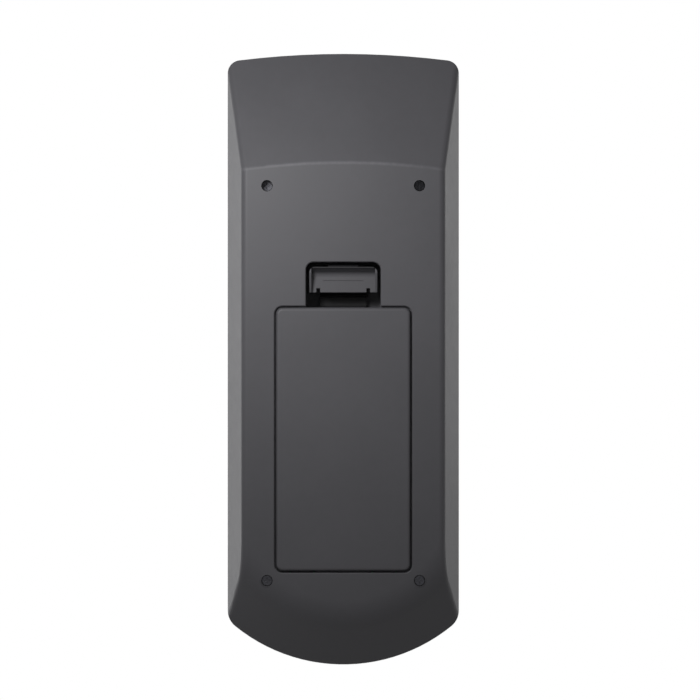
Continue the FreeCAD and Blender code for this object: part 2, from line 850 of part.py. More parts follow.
class WideKey:
    """A key with a rectangular cap whose corners are cut off."""

    def __init__(self, x, y, width, length, corner_cut):
        self.x, self.y, self.width, self.length, self.corner_cut = x, y, width, length, corner_cut
        self.pad = (x, y)

    def cap(self, grow, z0, z1):
        w, l = self.width / 2 + grow, self.length / 2 + grow
        cut = self.corner_cut + grow * (2 - math.sqrt(2))
        return cut_corner_block(self.x, self.y, w, l, cut, z0, z1)

    def flange(self, grow, z0, z1):
        w, l = self.width / 2 + grow, self.length / 2 + grow
        return box(self.x - w, self.x + w, self.y - l, self.y + l, z0, z1)


class RoundKey:
    """A key with a round cap."""

    def __init__(self, x, y, radius):
        self.x, self.y, self.radius = x, y, radius
        self.pad = (x, y)

    def cap(self, grow, z0, z1):
        return upright(self.radius + grow, self.x, self.y, z0, z1)

    def flange(self, grow, z0, z1):
        reach = self.radius + grow
        cut = reach * (2 - math.sqrt(2))
        return cut_corner_block(self.x, self.y, reach, reach, cut, z0, z1)


class CursorKey:
    """A quarter of the cursor ring, whose middle points along the angle."""

    def __init__(self, angle):
        self.angle = angle
        middle = (cursor_inner_radius + cursor_outer_radius) / 2
        turn = math.radians(angle)
        self.pad = (middle * math.cos(turn), cursor_y + middle * math.sin(turn))

    def cap(self, grow, z0, z1):
        outer = upright(cursor_outer_radius + grow, 0, 0, z0, z1)
        inner = upright(cursor_inner_radius - grow, 0, 0, z0 - spill, z1 + spill)
        apex = (cursor_web / 2 - grow) * math.sqrt(2)
        reach = 2 * cursor_outer_radius
        corners = [(apex, 0, 0), (apex + reach, -reach, 0), (apex + reach, reach, 0)]
        wedge = prism(rounded_wire(corners, in_plan(z0)), point(0, 0, z1 - z0))
        sector = outer.cut(inner).common(wedge)
        sector.rotate(point(0, 0, 0), point(0, 0, 1), self.angle)
        sector.translate(point(0, cursor_y, 0))
        return sector

    flange = cap


def from_head(*insets):
    """Places along the case, counted from the head end."""
    return [half_length - inset for inset in insets]


def wide_key(x, y):
    return WideKey(x, y, wide_key_width, wide_key_length, key_corner_cut)


def level_key(side, y):
    return WideKey(side * (half_width - level_key_side), y, wide_key_width, tall_key_length, key_corner_cut)


def corner_key(side, end):
    x, y = side * (half_width - corner_key_side), cursor_y + end * corner_key_dy
    return RoundKey(x, y, corner_key_radius)


power_key_x, power_key_y = half_width - power_key_side, half_length - power_key_inset
upper_level_y, lower_level_y = from_head(*level_row_insets)
keys = {
    "power_key": RoundKey(-power_key_x, power_key_y, power_key_radius),
    "source_power_key": RoundKey(power_key_x, power_key_y, power_key_radius),
    "volume_up_key": level_key(1, upper_level_y),
    "volume_down_key": level_key(1, lower_level_y),
    "channel_up_key": level_key(-1, upper_level_y),
    "channel_down_key": level_key(-1, lower_level_y),
    "mute_key": wide_key(0, half_length - mute_key_inset),
    "enter_key": RoundKey(0, cursor_y, enter_key_radius),
    "cursor_right_key": CursorKey(0),
    "cursor_up_key": CursorKey(90),
    "cursor_left_key": CursorKey(180),
    "cursor_down_key": CursorKey(270),
    "menu_key": corner_key(-1, 1),
    "home_key": corner_key(1, 1),
    "setup_key": corner_key(-1, -1),
    "back_key": corner_key(1, -1),
}

# Eight input keys fill two rows of four, so their width follows from the case's
input_pitch = 2 * (half_width - input_key_side) / 3
for row, y in enumerate(from_head(*input_row_insets)):
    for column in range(4):
        x = (column - 1.5) * input_pitch
        keys[f"input_key_{4 * row + column + 1}"] = WideKey(
            x, y, input_pitch - input_key_gap, wide_key_length, key_corner_cut)
transport_names = ("previous_key", "play_key", "next_key", "rewind_key", "stop_key", "forward_key")
for i, name in enumerate(transport_names):
    row, column = divmod(i, 3)
    y = half_length - transport_row_insets[row]
    keys[name] = wide_key((column - 1) * transport_column_pitch, y)
number_names = [f"number_key_{n}" for n in range(1, 10)] + ["clear_key", "number_key_0", "recall_key"]
for i, name in enumerate(number_names):
    row, column = divmod(i, 3)
    y = half_length - number_row_inset - row * number_row_pitch
    keys[name] = WideKey((column - 1) * number_column_pitch, y, number_key_width, number_key_length,
                         key_corner_cut)


def key_solid(key):
    top = case_depth + key_height
    cap = key.cap(0, key_bottom, top)
    cap = cap.makeChamfer(key_chamfer, edges_on_level(cap, top, lambda c: True))
    flange = key.flange(key_side_gap + key_flange_overlap, key_bottom, key_flange_top)
    return joined(cap, flange)


# Front housing
def front_housing():
    block = case_prism(0, parting_height, case_depth)
    block = block.makeFillet(front_edge_radius, edges_on_level(block, case_depth, lambda c: True))
    hollow = case_prism(front_wall, parting_height - spill, face_inner)
    rebate_inset = front_wall - lip_wall - lip_gap
    rebate = case_prism(rebate_inset, parting_height - spill, parting_height + lip_height + lip_gap)
    shell = block.cut([hollow, rebate])
    bosses = [
        upright(front_boss_radius, x, y, joint, face_inner + front_face_wall / 2)
        for x, y, depth, joint in screw_places
    ]
    shell = joined(shell, *bosses)
    cuts = [
        upright(screw_shank_radius + pilot_clearance, x, y, joint - spill,
                depth + screw_length + pilot_spare_depth)
        for x, y, depth, joint in screw_places
    ]
    cuts.append(box(-window_width / 2, window_width / 2, half_length - 2 * head_corner_radius,
                    half_length + spill, window_low, window_high))
    cuts += [key.cap(key_side_gap, face_inner - spill, case_depth + spill) for key in keys.values()]
    return shell.cut(cuts)


# Key mat, board and what is on it
def mat_and_board_holes(z0, z1, gap):
    """Square holes round the front housing's bosses, and the room that the battery tub takes."""
    half = front_boss_radius + gap
    tub_side = tub_x + tub_board_gap
    tail, head = tub_tail_y - tub_wall - tub_board_gap, tub_head_y + tub_wall + tub_board_gap
    holes = [box(x - half, x + half, y - half, y + half, z0, z1) for x, y, depth, joint in screw_places]
    return holes + [box(-tub_side, tub_side, tail, head, 0, tub_top + tub_board_gap)]


def key_mat():
    sheet = case_prism(front_wall + mat_edge_gap, board_top, mat_top)
    pads = []
    for key in keys.values():
        x, y = key.pad
        pads.append(box(x - mat_pad_width / 2, x + mat_pad_width / 2, y - mat_pad_length / 2,
                        y + mat_pad_length / 2, board_top, mat_pad_top))
    return joined(sheet, *pads).cut(mat_and_board_holes(board_top - spill, mat_top + spill, mat_boss_gap))


def main_board():
    sheet = case_prism(front_wall + board_edge_gap, board_bottom, board_top)
    return sheet.cut(mat_and_board_holes(board_bottom - spill, board_top + spill, board_boss_gap))


def window_band(outer_radius, thickness, half, low, high):
    """A band of plate that follows the head end's arc, between two heights."""
    ring = upright(outer_radius, 0, head_axis_y, low, high)
    ring = ring.cut(upright(outer_radius - thickness, 0, head_axis_y, low - spill, high + spill))
    return ring.common(box(-half, half, ridge_y, half_length + spill, low, high))


def ir_window():
    face_radius = head_arc_radius - window_recess
    inner_radius = head_arc_radius - front_wall - window_gap
    half = window_width / 2 - window_gap
    pane = window_band(face_radius, face_radius - inner_radius + window_flange_thickness / 2, half,
                       window_low + window_gap, window_high - window_gap)
    flange = window_band(inner_radius, window_flange_thickness, window_width / 2 + window_flange,
                         window_low - window_flange / 2, window_high + window_flange)
    return joined(pane, flange)


def ir_emitter(x):
    inner_face = half_length - front_wall - window_gap - window_flange_thickness
    tip_y = inner_face - emitter_tip_gap
    base_y = tip_y - emitter_radius - emitter_body
    z = board_bottom - emitter_board_gap - emitter_radius - emitter_rim
    along = point(0, 1, 0)
    body = Part.makeCylinder(emitter_radius, emitter_body, point(x, base_y, z), along)
    lens_start = point(x, base_y + emitter_body, z)
    lens = Part.makeCone(emitter_radius, emitter_lens_radius, emitter_radius, lens_start, along)
    rim = Part.makeCylinder(emitter_radius + emitter_rim, emitter_rim_thickness, point(x, base_y, z), along)
    leads = []
    for side in (-1, 1):
        x0 = x + side * emitter_lead_spacing / 2 - emitter_lead / 2
        x1 = x0 + emitter_lead
        z0, z1 = z - emitter_lead / 2, z + emitter_lead / 2
        bend_y = base_y - emitter_lead_run
        leads.append(box(x0, x1, bend_y, base_y + emitter_rim_thickness / 2, z0, z1))
        leads.append(box(x0, x1, bend_y, bend_y + emitter_lead, z0, board_bottom))
    return joined(body, lens, rim, *leads)


def control_chip():
    half = chip_size / 2
    low = board_bottom - chip_standoff - chip_thickness
    body = box(-half, half, chip_y - half, chip_y + half, low, board_bottom - chip_standoff)
    leads = []
    for i in range(chip_leads_per_side):
        offset = (i - (chip_leads_per_side - 1) / 2) * chip_lead_pitch
        for side in (-1, 1):
            inner, outer = side * (half - chip_lead_reach / 2), side * (half + chip_lead_reach)
            x0, x1 = min(inner, outer), max(inner, outer)
            y = chip_y + offset
            leads.append(box(x0, x1, y - chip_lead_width / 2, y + chip_lead_width / 2,
                             board_bottom - chip_standoff - chip_lead_thickness, board_bottom))
    return joined(body, *leads)


def resonator():
    w, l = resonator_width / 2, resonator_length / 2
    edges = resonator_x - w, resonator_x + w, resonator_y - l, resonator_y + l
    return plan_block(*edges, resonator_end_radius, board_bottom - resonator_height, board_bottom)


def capacitor():
    return upright(capacitor_radius, capacitor_x, capacitor_y, board_bottom - capacitor_height, board_bottom)


# Screws
def case_screw(x, y, depth):
    head = upright(screw_head_radius, x, y, depth - screw_head_height, depth)
    shank = upright(screw_shank_radius, x, y, depth - screw_head_height / 2, depth + screw_length)
    slots = []
    slot_z = depth - screw_head_height
    long, short = screw_slot_length / 2, screw_slot_width / 2
    for half_x, half_y in ((long, short), (short, long)):
        slots.append(box(x - half_x, x + half_x, y - half_y, y + half_y,
                         slot_z - spill, slot_z + screw_slot_depth))
    return joined(head, shank).cut(slots)


write("rear_housing", rear_housing())
write("front_housing", front_housing())
write("battery_door", battery_door())
write("door_latch", door_latch())
write("battery_cell_left", aa_cell(left_x, 1))
write("battery_cell_right", aa_cell(right_x, -1))
write("contact_positive", contact_positive())
write("contact_negative", contact_negative())
write("contact_bridge", contact_bridge())
write("key_mat", key_mat())
write("main_board", main_board())
write("control_chip", control_chip())
write("resonator", resonator())
write("capacitor", capacitor())
write("ir_window", ir_window())
write("ir_emitters", Part.makeCompound([ir_emitter(x) for x in (-emitter_spacing / 2, emitter_spacing / 2)]))
write("case_screws", Part.makeCompound([case_screw(x, y, depth) for x, y, depth, joint in screw_places]))
for name, key in keys.items():
    write(name, key_solid(key))
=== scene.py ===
# Remote control of an audio-video receiver, seen from its back: materials, prints on the keys and the studio.
# Metres. The keys face +Z, the back lies on z = 0 and the infra-red end points along +Y.
import math

import bmesh
import bpy
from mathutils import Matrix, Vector


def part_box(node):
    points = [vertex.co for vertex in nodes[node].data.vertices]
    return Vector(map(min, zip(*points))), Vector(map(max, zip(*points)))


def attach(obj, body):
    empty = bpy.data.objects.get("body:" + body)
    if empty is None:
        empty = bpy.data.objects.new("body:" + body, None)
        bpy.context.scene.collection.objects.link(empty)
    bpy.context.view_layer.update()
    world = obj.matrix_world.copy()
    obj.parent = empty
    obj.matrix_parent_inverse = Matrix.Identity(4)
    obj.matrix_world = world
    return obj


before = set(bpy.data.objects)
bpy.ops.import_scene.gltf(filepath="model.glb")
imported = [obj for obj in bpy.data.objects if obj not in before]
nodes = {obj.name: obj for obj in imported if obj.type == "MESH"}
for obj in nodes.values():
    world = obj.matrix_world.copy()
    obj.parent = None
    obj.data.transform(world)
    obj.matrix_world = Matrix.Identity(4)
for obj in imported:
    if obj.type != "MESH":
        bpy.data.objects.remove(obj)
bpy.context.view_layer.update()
MM = 0.001


# Node helpers
class Shader:
    """A material under construction, with its nodes and links."""

    def __init__(self, name):
        self.material = bpy.data.materials.new(name)
        self.material.use_nodes = True
        self.tree = self.material.node_tree
        self.tree.nodes.clear()
        self.output = self.tree.nodes.new("ShaderNodeOutputMaterial")
        self.surface = self.tree.nodes.new("ShaderNodeBsdfPrincipled")
        self.link(self.surface.outputs["BSDF"], self.output.inputs["Surface"])
        self.place = self.node("ShaderNodeTexCoord").outputs["Object"]

    def node(self, kind, **values):
        made = self.tree.nodes.new(kind)
        for key, value in values.items():
            setattr(made, key, value)
        return made

    def link(self, source, target):
        self.tree.links.new(source, target)

    def put(self, target, value):
        """A number, a colour or another node's output goes into the socket."""
        if isinstance(value, bpy.types.NodeSocket):
            self.link(value, target)
        else:
            target.default_value = value

    def noise(self, scale, detail=2.0, roughness=0.5, stretch=(1, 1, 1)):
        mapping = self.node("ShaderNodeMapping")
        mapping.inputs["Scale"].default_value = stretch
        self.link(self.place, mapping.inputs["Vector"])
        texture = self.node("ShaderNodeTexNoise")
        self.link(mapping.outputs["Vector"], texture.inputs["Vector"])
        texture.inputs["Scale"].default_value = scale
        texture.inputs["Detail"].default_value = detail
        texture.inputs["Roughness"].default_value = roughness
        return texture.outputs["Fac"]

    def math(self, operation, first, second=0.0):
        made = self.node("ShaderNodeMath", operation=operation)
        self.put(made.inputs[0], first)
        self.put(made.inputs[1], second)
        return made.outputs["Value"]

    def between(self, value, low, high, to_low, to_high):
        """The value's range from low to high moved smoothly onto to_low to to_high."""
        made = self.node("ShaderNodeMapRange", interpolation_type="SMOOTHSTEP")
        for key, number in zip(("From Min", "From Max", "To Min", "To Max"), (low, high, to_low, to_high)):
            made.inputs[key].default_value = number
        self.link(value, made.inputs["Value"])
        return made.outputs["Result"]

    def times(self, first, *others):
        """The product of the values."""
        for other in others:
            first = self.math("MULTIPLY", first, other)
        return first

    def distance(self, across, along):
        """The length of a line from its two offsets."""
        return self.math("SQRT", self.math("ADD", self.times(across, across), self.times(along, along)))

    def faded(self, mask, loss):
        """1 where the mask is 0, and less by the loss where it is 1."""
        return self.math("SUBTRACT", 1.0, self.times(mask, loss))

    def scaled(self, color, share):
        """A red, green and blue colour times the share."""
        made = self.node("ShaderNodeVectorMath", operation="SCALE")
        made.inputs[0].default_value = color
        self.link(share, made.inputs["Scale"])
        return made.outputs["Vector"]

    def mix(self, share, first, second):
        made = self.node("ShaderNodeMix", data_type="RGBA")
        self.put(made.inputs["Factor"], share)
        self.put(made.inputs[6], first)
        self.put(made.inputs[7], second)
        return made.outputs[2]

    def apart(self, vector):
        made = self.node("ShaderNodeSeparateXYZ")
        self.link(vector, made.inputs["Vector"])
        return made.outputs["X"], made.outputs["Y"], made.outputs["Z"]

    def bump(self, height, strength, distance, normal=None):
        made = self.node("ShaderNodeBump")
        made.inputs["Strength"].default_value = strength
        made.inputs["Distance"].default_value = distance
        self.link(height, made.inputs["Height"])
        if normal is not None:
            self.link(normal, made.inputs["Normal"])
        return made.outputs["Normal"]

    def soft_edge(self, radius):
        """The normal of the surface with its sharp edges rounded by the radius."""
        made = self.node("ShaderNodeBevel", samples=4)
        made.inputs["Radius"].default_value = radius
        return made.outputs["Normal"]

    def edge_share(self, soft_normal):
        """1 on a rounded edge and 0 on the flat beside it."""
        across = self.node("ShaderNodeVectorMath", operation="DOT_PRODUCT")
        self.link(soft_normal, across.inputs[0])
        self.link(self.node("ShaderNodeNewGeometry").outputs["Normal"], across.inputs[1])
        return self.between(across.outputs["Value"], 0.82, 0.995, 1.0, 0.0)

    def finish(self, color, roughness, normal=None, **sockets):
        self.put(self.surface.inputs["Base Color"], color)
        self.put(self.surface.inputs["Roughness"], roughness)
        if normal is not None:
            self.link(normal, self.surface.inputs["Normal"])
        for key, value in sockets.items():
            self.surface.inputs[key.replace("_", " ")].default_value = value
        return self.material


NO_TINT = (1.0, 1.0, 1.0)


def tinted(value, tint):
    return tuple(value * share for share in tint)


def rubbed_arc(s, arc, patches):
    """How strong the painted highlight along a ridge on the back is: most near its middle, uneven, and only
    close to the table.
    The arc is its axis, its radius and half its width."""
    axis_y, radius, half = arc
    x, y, z = s.apart(s.place)
    off = s.math("ABSOLUTE", s.math("SUBTRACT", s.distance(x, s.math("SUBTRACT", y, axis_y)), radius))
    return s.times(s.between(off, 0.0, half, 1.0, 0.0),
                   s.between(z, 0.4 * MM, 1.6 * MM, 1.0, 0.0),
                   s.between(s.math("ABSOLUTE", x), 12 * MM, 27 * MM, 1.0, 0.5),
                   s.between(patches, 0.25, 0.75, 0.6, 1.4))


def well_dust(s, well_x, well_y):
    """The mask of painted shade: 1 on the wall of a screw hole with this middle, and 0 outside it."""
    x, y, z = s.apart(s.place)
    reach = s.distance(s.math("SUBTRACT", x, well_x), s.math("SUBTRACT", y, well_y))
    return s.times(s.between(reach, 1.8 * MM, 2.1 * MM, 1.0, 0.0), s.between(z, 0.1 * MM, 1.2 * MM, 0.0, 1.0))


def moulded(name, color, rough, grain=0.16, edge=0.12, tint=NO_TINT, ridge=None, painted_recess_shade=None, wells=()):
    """Spark-textured moulded plastic: fine grain, faint flow clouds and slightly polished edges.
    A ridge is an arc on the back with a painted highlight along it: its axis, its radius and half its width.
    The painted recess shade is painted shade that darkens a recess: an axis from 0 to 2, where it starts and
    is full, the share of the colour left and the roughness added.
    Wells are the middles of screw holes, whose walls get painted shade too."""
    s = Shader(name)
    soft = s.soft_edge(edge * MM)
    worn = s.edge_share(soft)
    clouds = s.noise(38, 3, 0.55)
    patches = s.noise(420, 3, 0.6)
    light = s.times(s.between(clouds, 0.3, 0.7, 0.965, 1.035),
                    s.between(patches, 0.3, 0.7, 0.985, 1.015),
                    s.between(worn, 0.0, 1.0, 1.0, 1.22))
    roughness = s.math("ADD", s.between(patches, 0.25, 0.75, rough - 0.015, rough + 0.015),
                       s.between(clouds, 0.3, 0.7, -0.012, 0.012))
    roughness = s.math("SUBTRACT", roughness, s.times(worn, 0.1))
    # Painted highlight: the colour is lightened along the ridge.
    if ridge is not None:
        light = s.times(light, s.math("ADD", 1.0, s.times(rubbed_arc(s, ridge, patches), 0.45)))
    # Painted shade: the colour is darkened deep in a recess, where shade falls.
    if painted_recess_shade is not None:
        axis, start, full, share, dulled = painted_recess_shade
        painted_shade_mask = s.between(s.apart(s.place)[axis], start, full, 0.0, 1.0)
        light = s.times(light, s.faded(painted_shade_mask, 1.0 - share))
        roughness = s.math("ADD", roughness, s.times(painted_shade_mask, dulled))
    # Painted shade on the walls of the screw holes
    for well_x, well_y in wells:
        light = s.times(light, s.faded(well_dust(s, well_x, well_y), 0.75))
    grain_fine = s.noise(7200, 2, 0.6)
    grain_coarse = s.noise(2300, 2, 0.5)
    height = s.math("ADD", s.times(grain_fine, 0.6), s.times(grain_coarse, 0.4))
    normal = s.bump(height, grain, 0.02 * MM, soft)
    return s.finish(s.scaled(tinted(color, tint), light), roughness, normal, Specular_IOR_Level=0.25)


def key_rubber(name, color, rough=0.42, tint=NO_TINT):
    """Satin silicone: smooth, with a soft haze and edges paler from handling."""
    s = Shader(name)
    soft = s.soft_edge(0.22 * MM)
    worn = s.edge_share(soft)
    haze = s.noise(260, 3, 0.55)
    fine = s.noise(5200, 2, 0.5)
    light = s.times(s.between(haze, 0.3, 0.7, 0.95, 1.05), s.between(worn, 0, 1, 1.0, 1.15))
    roughness = s.between(haze, 0.25, 0.75, rough - 0.05, rough + 0.06)
    return s.finish(s.scaled(tinted(color, tint), light), roughness, s.bump(fine, 0.1, 0.01 * MM, soft),
                    Specular_IOR_Level=0.45, Sheen_Weight=0.08, Sheen_Roughness=0.4)


def bare_metal(name, color, rough):
    """Plated or tinned metal with fine lines from its drawing."""
    s = Shader(name)
    soft = s.soft_edge(0.08 * MM)
    lines = s.noise(900, 3, 0.6, stretch=(1, 1, 12))
    spots = s.noise(300, 2, 0.5)
    tone = s.scaled(color, s.between(spots, 0.3, 0.7, 0.9, 1.0))
    roughness = s.between(lines, 0.3, 0.7, rough - 0.05, rough + 0.09)
    return s.finish(tone, roughness, s.bump(lines, 0.12, 0.01 * MM, soft), Metallic=1.0)


def cell_skin(name, node, nub_at_head):
    """A dry cell: a pale sleeve with a dark band and line at the nub's end. Its end faces are the bare can,
    with a pale washer around the nub."""
    s = Shader(name)
    low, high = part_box(node)
    can_radius, washer_radius, nub_radius, nub_length = 6.55 * MM, 4.6 * MM, 2.85 * MM, 3 * MM
    x, y, z = s.apart(s.place)
    to_nub = s.math("SUBTRACT", high.y, y) if nub_at_head else s.math("SUBTRACT", y, low.y)
    middle = (low + high) / 2
    reach = s.distance(s.math("SUBTRACT", x, middle.x), s.math("SUBTRACT", z, middle.z))
    bare = s.math("LESS_THAN", reach, can_radius)
    band = s.between(to_nub, 12.9 * MM, 13.1 * MM, 1.0, 0.0)
    line = s.times(s.between(to_nub, 13.9 * MM, 14.0 * MM, 0.0, 1.0),
                   s.between(to_nub, 14.5 * MM, 14.6 * MM, 1.0, 0.0))
    wrap = s.noise(160, 3, 0.5)
    fine = s.noise(2600, 2, 0.5)
    sleeve = s.mix(s.between(wrap, 0.3, 0.7, 0.0, 1.0), (0.42, 0.44, 0.46, 1), (0.48, 0.50, 0.52, 1))
    sleeve = s.mix(s.math("MAXIMUM", band, line), sleeve, (0.035, 0.06, 0.075, 1))
    washer = s.times(s.math("LESS_THAN", reach, washer_radius), s.math("GREATER_THAN", reach, nub_radius),
                     s.math("LESS_THAN", to_nub, nub_length))
    can = s.mix(washer, (0.62, 0.61, 0.59, 1), (0.75, 0.74, 0.70, 1))
    s.link(s.times(bare, s.math("SUBTRACT", 1.0, washer)), s.surface.inputs["Metallic"])
    roughness = s.between(wrap, 0.3, 0.7, 0.26, 0.36)
    normal = s.bump(fine, 0.06, 0.01 * MM, s.soft_edge(0.15 * MM))
    return s.finish(s.mix(bare, sleeve, can), roughness, normal, Coat_Weight=0.3, Coat_Roughness=0.15)


def board_skin():
    """Green resist over copper, whose tracks show through as faint paler lines."""
    s = Shader("board_resist")
    tracks = s.node("ShaderNodeTexWave", wave_type="BANDS", bands_direction="DIAGONAL")
    s.link(s.place, tracks.inputs["Vector"])
    tracks.inputs["Scale"].default_value = 420
    tracks.inputs["Distortion"].default_value = 6
    tracks.inputs["Detail Scale"].default_value = 0.4
    copper = s.between(tracks.outputs["Fac"], 0.62, 0.72, 0.0, 1.0)
    color = s.mix(copper, (0.03, 0.16, 0.06, 1), (0.05, 0.24, 0.08, 1))
    return s.finish(color, s.between(s.noise(700, 2), 0.3, 0.7, 0.28, 0.4), s.bump(copper, 0.2, 0.03 * MM))


def window_skin():
    """Infra-red filter plastic: polished and near black, with a painted red sheen that grows toward grazing
    view angles.
    """
    s = Shader("window_filter")
    depth = s.noise(90, 2, 0.5)
    # Painted sheen: the colour turns redder as the surface is seen more edge-on.
    facing = s.node("ShaderNodeLayerWeight")
    facing.inputs["Blend"].default_value = 0.35
    grazing = s.times(facing.outputs["Facing"], 0.6)
    color = s.mix(grazing, (0.012, 0.002, 0.004, 1), (0.055, 0.004, 0.010, 1))
    roughness = s.between(depth, 0.3, 0.7, 0.07, 0.12)
    wave = s.bump(s.noise(60, 1, 0.4), 0.05, 0.1 * MM, s.soft_edge(0.12 * MM))
    return s.finish(color, roughness, wave, Specular_IOR_Level=0.35, Coat_Weight=0.1, Coat_Roughness=0.04)


def screw_steel():
    """Blackened steel, rubbed paler at its edges."""
    s = Shader("screw_black")
    soft = s.soft_edge(0.09 * MM)
    worn = s.edge_share(soft)
    spots = s.noise(1500, 3, 0.6)
    color = s.mix(s.times(worn, 0.5), (0.035, 0.035, 0.04, 1), (0.30, 0.30, 0.31, 1))
    roughness = s.between(spots, 0.3, 0.7, 0.28, 0.42)
    return s.finish(color, roughness, s.bump(spots, 0.12, 0.01 * MM, soft), Metallic=0.85)


def plain_print(name, color):
    """Screen-printed ink: flat and faintly uneven."""
    s = Shader(name)
    cover = s.noise(1400, 3, 0.6)
    base = s.scaled(color, s.between(cover, 0.3, 0.7, 0.9, 1.03))
    return s.finish(base, s.between(cover, 0.3, 0.7, 0.5, 0.62), s.bump(cover, 0.08, 0.01 * MM))


def lens_resin():
    """Clear epoxy with a blue tint, faintly clouded."""
    s = Shader("emitter_resin")
    cloud = s.noise(400, 2, 0.5)
    color = s.mix(s.between(cloud, 0.3, 0.7, 0, 1), (0.16, 0.20, 0.34, 1), (0.20, 0.25, 0.40, 1))
    return s.finish(color, s.between(cloud, 0.3, 0.7, 0.06, 0.12), Coat_Weight=0.4)


# Finishes, with painted highlight and shade, and with places read from the frame and from the forms of the
# case
charcoal = (1.015, 1.0, 1.09)
# Place and half width of the painted highlight along the ridge on the back
head_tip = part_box("front_housing")[1].y
head_arc_radius = 226.0 * MM
ridge_inset = 29.3 * MM
highlight_half_width = 0.7 * MM
ridge_arc = (head_tip - head_arc_radius, head_arc_radius - ridge_inset, highlight_half_width)
# Middles of the screw holes, whose walls get painted shade
screw_low, screw_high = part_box("case_screws")
screw_head_radius = 1.35 * MM
screw_wells = [(x, y) for x in (screw_low.x + screw_head_radius, screw_high.x - screw_head_radius)
               for y in (screw_low.y + screw_head_radius, screw_high.y - screw_head_radius)]
nose_reach = 0.7 * MM
latch_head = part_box("door_latch")[1].y - nose_reach
# Painted shade across the latch's head end, under the pocket's lip
latch_painted_shade = (1, latch_head - 1.0 * MM, latch_head - 0.1 * MM, 0.35, 0.0)
# Painted shade on the door's parts deep in the gap under the latch
door_painted_shade = (2, 1.6 * MM, 3.5 * MM, 0.15, 0.15)
# The rear housing has a painted ridge highlight and painted shade in its screw holes; the door and latch have
# painted recess shade.
looks = {
    "rear_housing": moulded("rear_charcoal", 0.082, 0.50, tint=charcoal, ridge=ridge_arc, wells=screw_wells),
    "battery_door": moulded("door_charcoal", 0.085, 0.50, tint=charcoal, painted_recess_shade=door_painted_shade),
    "door_latch": moulded("latch_charcoal", 0.080, 0.46, tint=charcoal, grain=0.1, painted_recess_shade=latch_painted_shade),
    "front_housing": moulded("front_charcoal", 0.060, 0.42, tint=charcoal, grain=0.12),
    "key_mat": key_rubber("mat_silicone", 0.46, 0.5),
    "main_board": board_skin(),
    "control_chip": moulded("chip_package", 0.030, 0.38, grain=0.2, edge=0.05),
    "resonator": bare_metal("resonator_can", (0.62, 0.62, 0.60), 0.30),
    "capacitor": moulded("capacitor_sleeve", 0.11, 0.25, grain=0.03, tint=(0.25, 0.4, 1.0)),
    "ir_window": window_skin(),
    "ir_emitters": lens_resin(),
    "battery_cell_left": cell_skin("cell_left_sleeve", "battery_cell_left", nub_at_head=True),
    "battery_cell_right": cell_skin("cell_right_sleeve", "battery_cell_right", nub_at_head=False),
    "case_screws": screw_steel(),
}
contacts = ["contact_positive", "contact_negative", "contact_bridge"]
nickel = bare_metal("contact_nickel", (0.66, 0.64, 0.59), 0.24)
for name in contacts:
    looks[name] = nickel
satin_key = key_rubber("key_satin", 0.085, tint=(1.0, 1.0, 1.04))
pale_key = key_rubber("key_pale", 0.34, tint=(1.0, 1.01, 1.05))
red_key = key_rubber("key_red", 0.36, tint=(1.0, 0.10, 0.08))
for name in nodes:
    if "power_key" in name:
        looks[name] = red_key
    elif name == "enter_key" or name.startswith("number_key"):
        looks[name] = pale_key
    elif name.endswith("_key") or name.startswith("input_key"):
        looks[name] = satin_key
for name, obj in nodes.items():
    for material_slot in obj.material_slots:
        material_slot.material = looks[name]


# Prints on the keys: thin raised ink, drawn as outlines in millimetres about the key's middle
PRINT_HEIGHT = 0.03
LINE = 0.34


def key_top(name):
    low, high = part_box(name)
    return Vector(((low.x + high.x) / 2, (low.y + high.y) / 2, high.z))


def prism_mesh(bm, outlines, base, height):
    """Adds thin upright prisms over the outlines, whose points are in millimetres. Where two outlines share a
    side, no wall stands between them."""
    corners = {}

    def corner(point, level):
        if (point, level) not in corners:
            corners[point, level] = bm.verts.new(base + Vector((point[0], point[1], level)) * MM)
        return corners[point, level]

    rings = [[(round(u, 6), round(v, 6)) for u, v in outline] for outline in outlines]
    sides = [side for ring in rings for side in zip(ring, ring[1:] + ring[:1])]
    for ring in rings:
        bm.faces.new([corner(point, height) for point in ring])
        bm.faces.new([corner(point, 0.0) for point in reversed(ring)])
    for first, second in sides:
        if (second, first) not in sides:
            wall = (corner(first, 0.0), corner(second, 0.0), corner(second, height), corner(first, height))
            bm.faces.new(wall)


def mesh_piece(name, bm, material):
    mesh = bpy.data.meshes.new(name)
    bm.normal_update()
    bm.to_mesh(mesh)
    bm.free()
    obj = bpy.data.objects.new(name, mesh)
    bpy.context.scene.collection.objects.link(obj)
    mesh.materials.append(material)
    return obj


def arc_band(radius, width, first, last, steps=24):
    """A bent strip from the first angle to the last, in degrees, as quads, so that it has no hole to fill."""
    strips = []
    for i in range(steps):
        a, b = (math.radians(first + (last - first) * k / steps) for k in (i, i + 1))
        inner, outer = radius - width / 2, radius + width / 2
        corners = ((inner, a), (outer, a), (outer, b), (inner, b))
        strips.append([(reach * math.cos(turn), reach * math.sin(turn)) for reach, turn in corners])
    return strips


def bar(x, y, width, height):
    left, right, low, high = x - width / 2, x + width / 2, y - height / 2, y + height / 2
    return [(left, low), (right, low), (right, high), (left, high)]


def plus(size, width):
    """An upright cross as one outline."""
    far, near = size / 2, width / 2
    return [(far, -near), (far, near), (near, near), (near, far), (-near, far), (-near, near), (-far, near),
            (-far, -near), (-near, -near), (-near, -far), (near, -far), (near, -near)]


def disc(x, y, radius, sides=20):
    return [(x + radius * math.cos(2 * math.pi * k / sides), y + radius * math.sin(2 * math.pi * k / sides))
            for k in range(sides)]


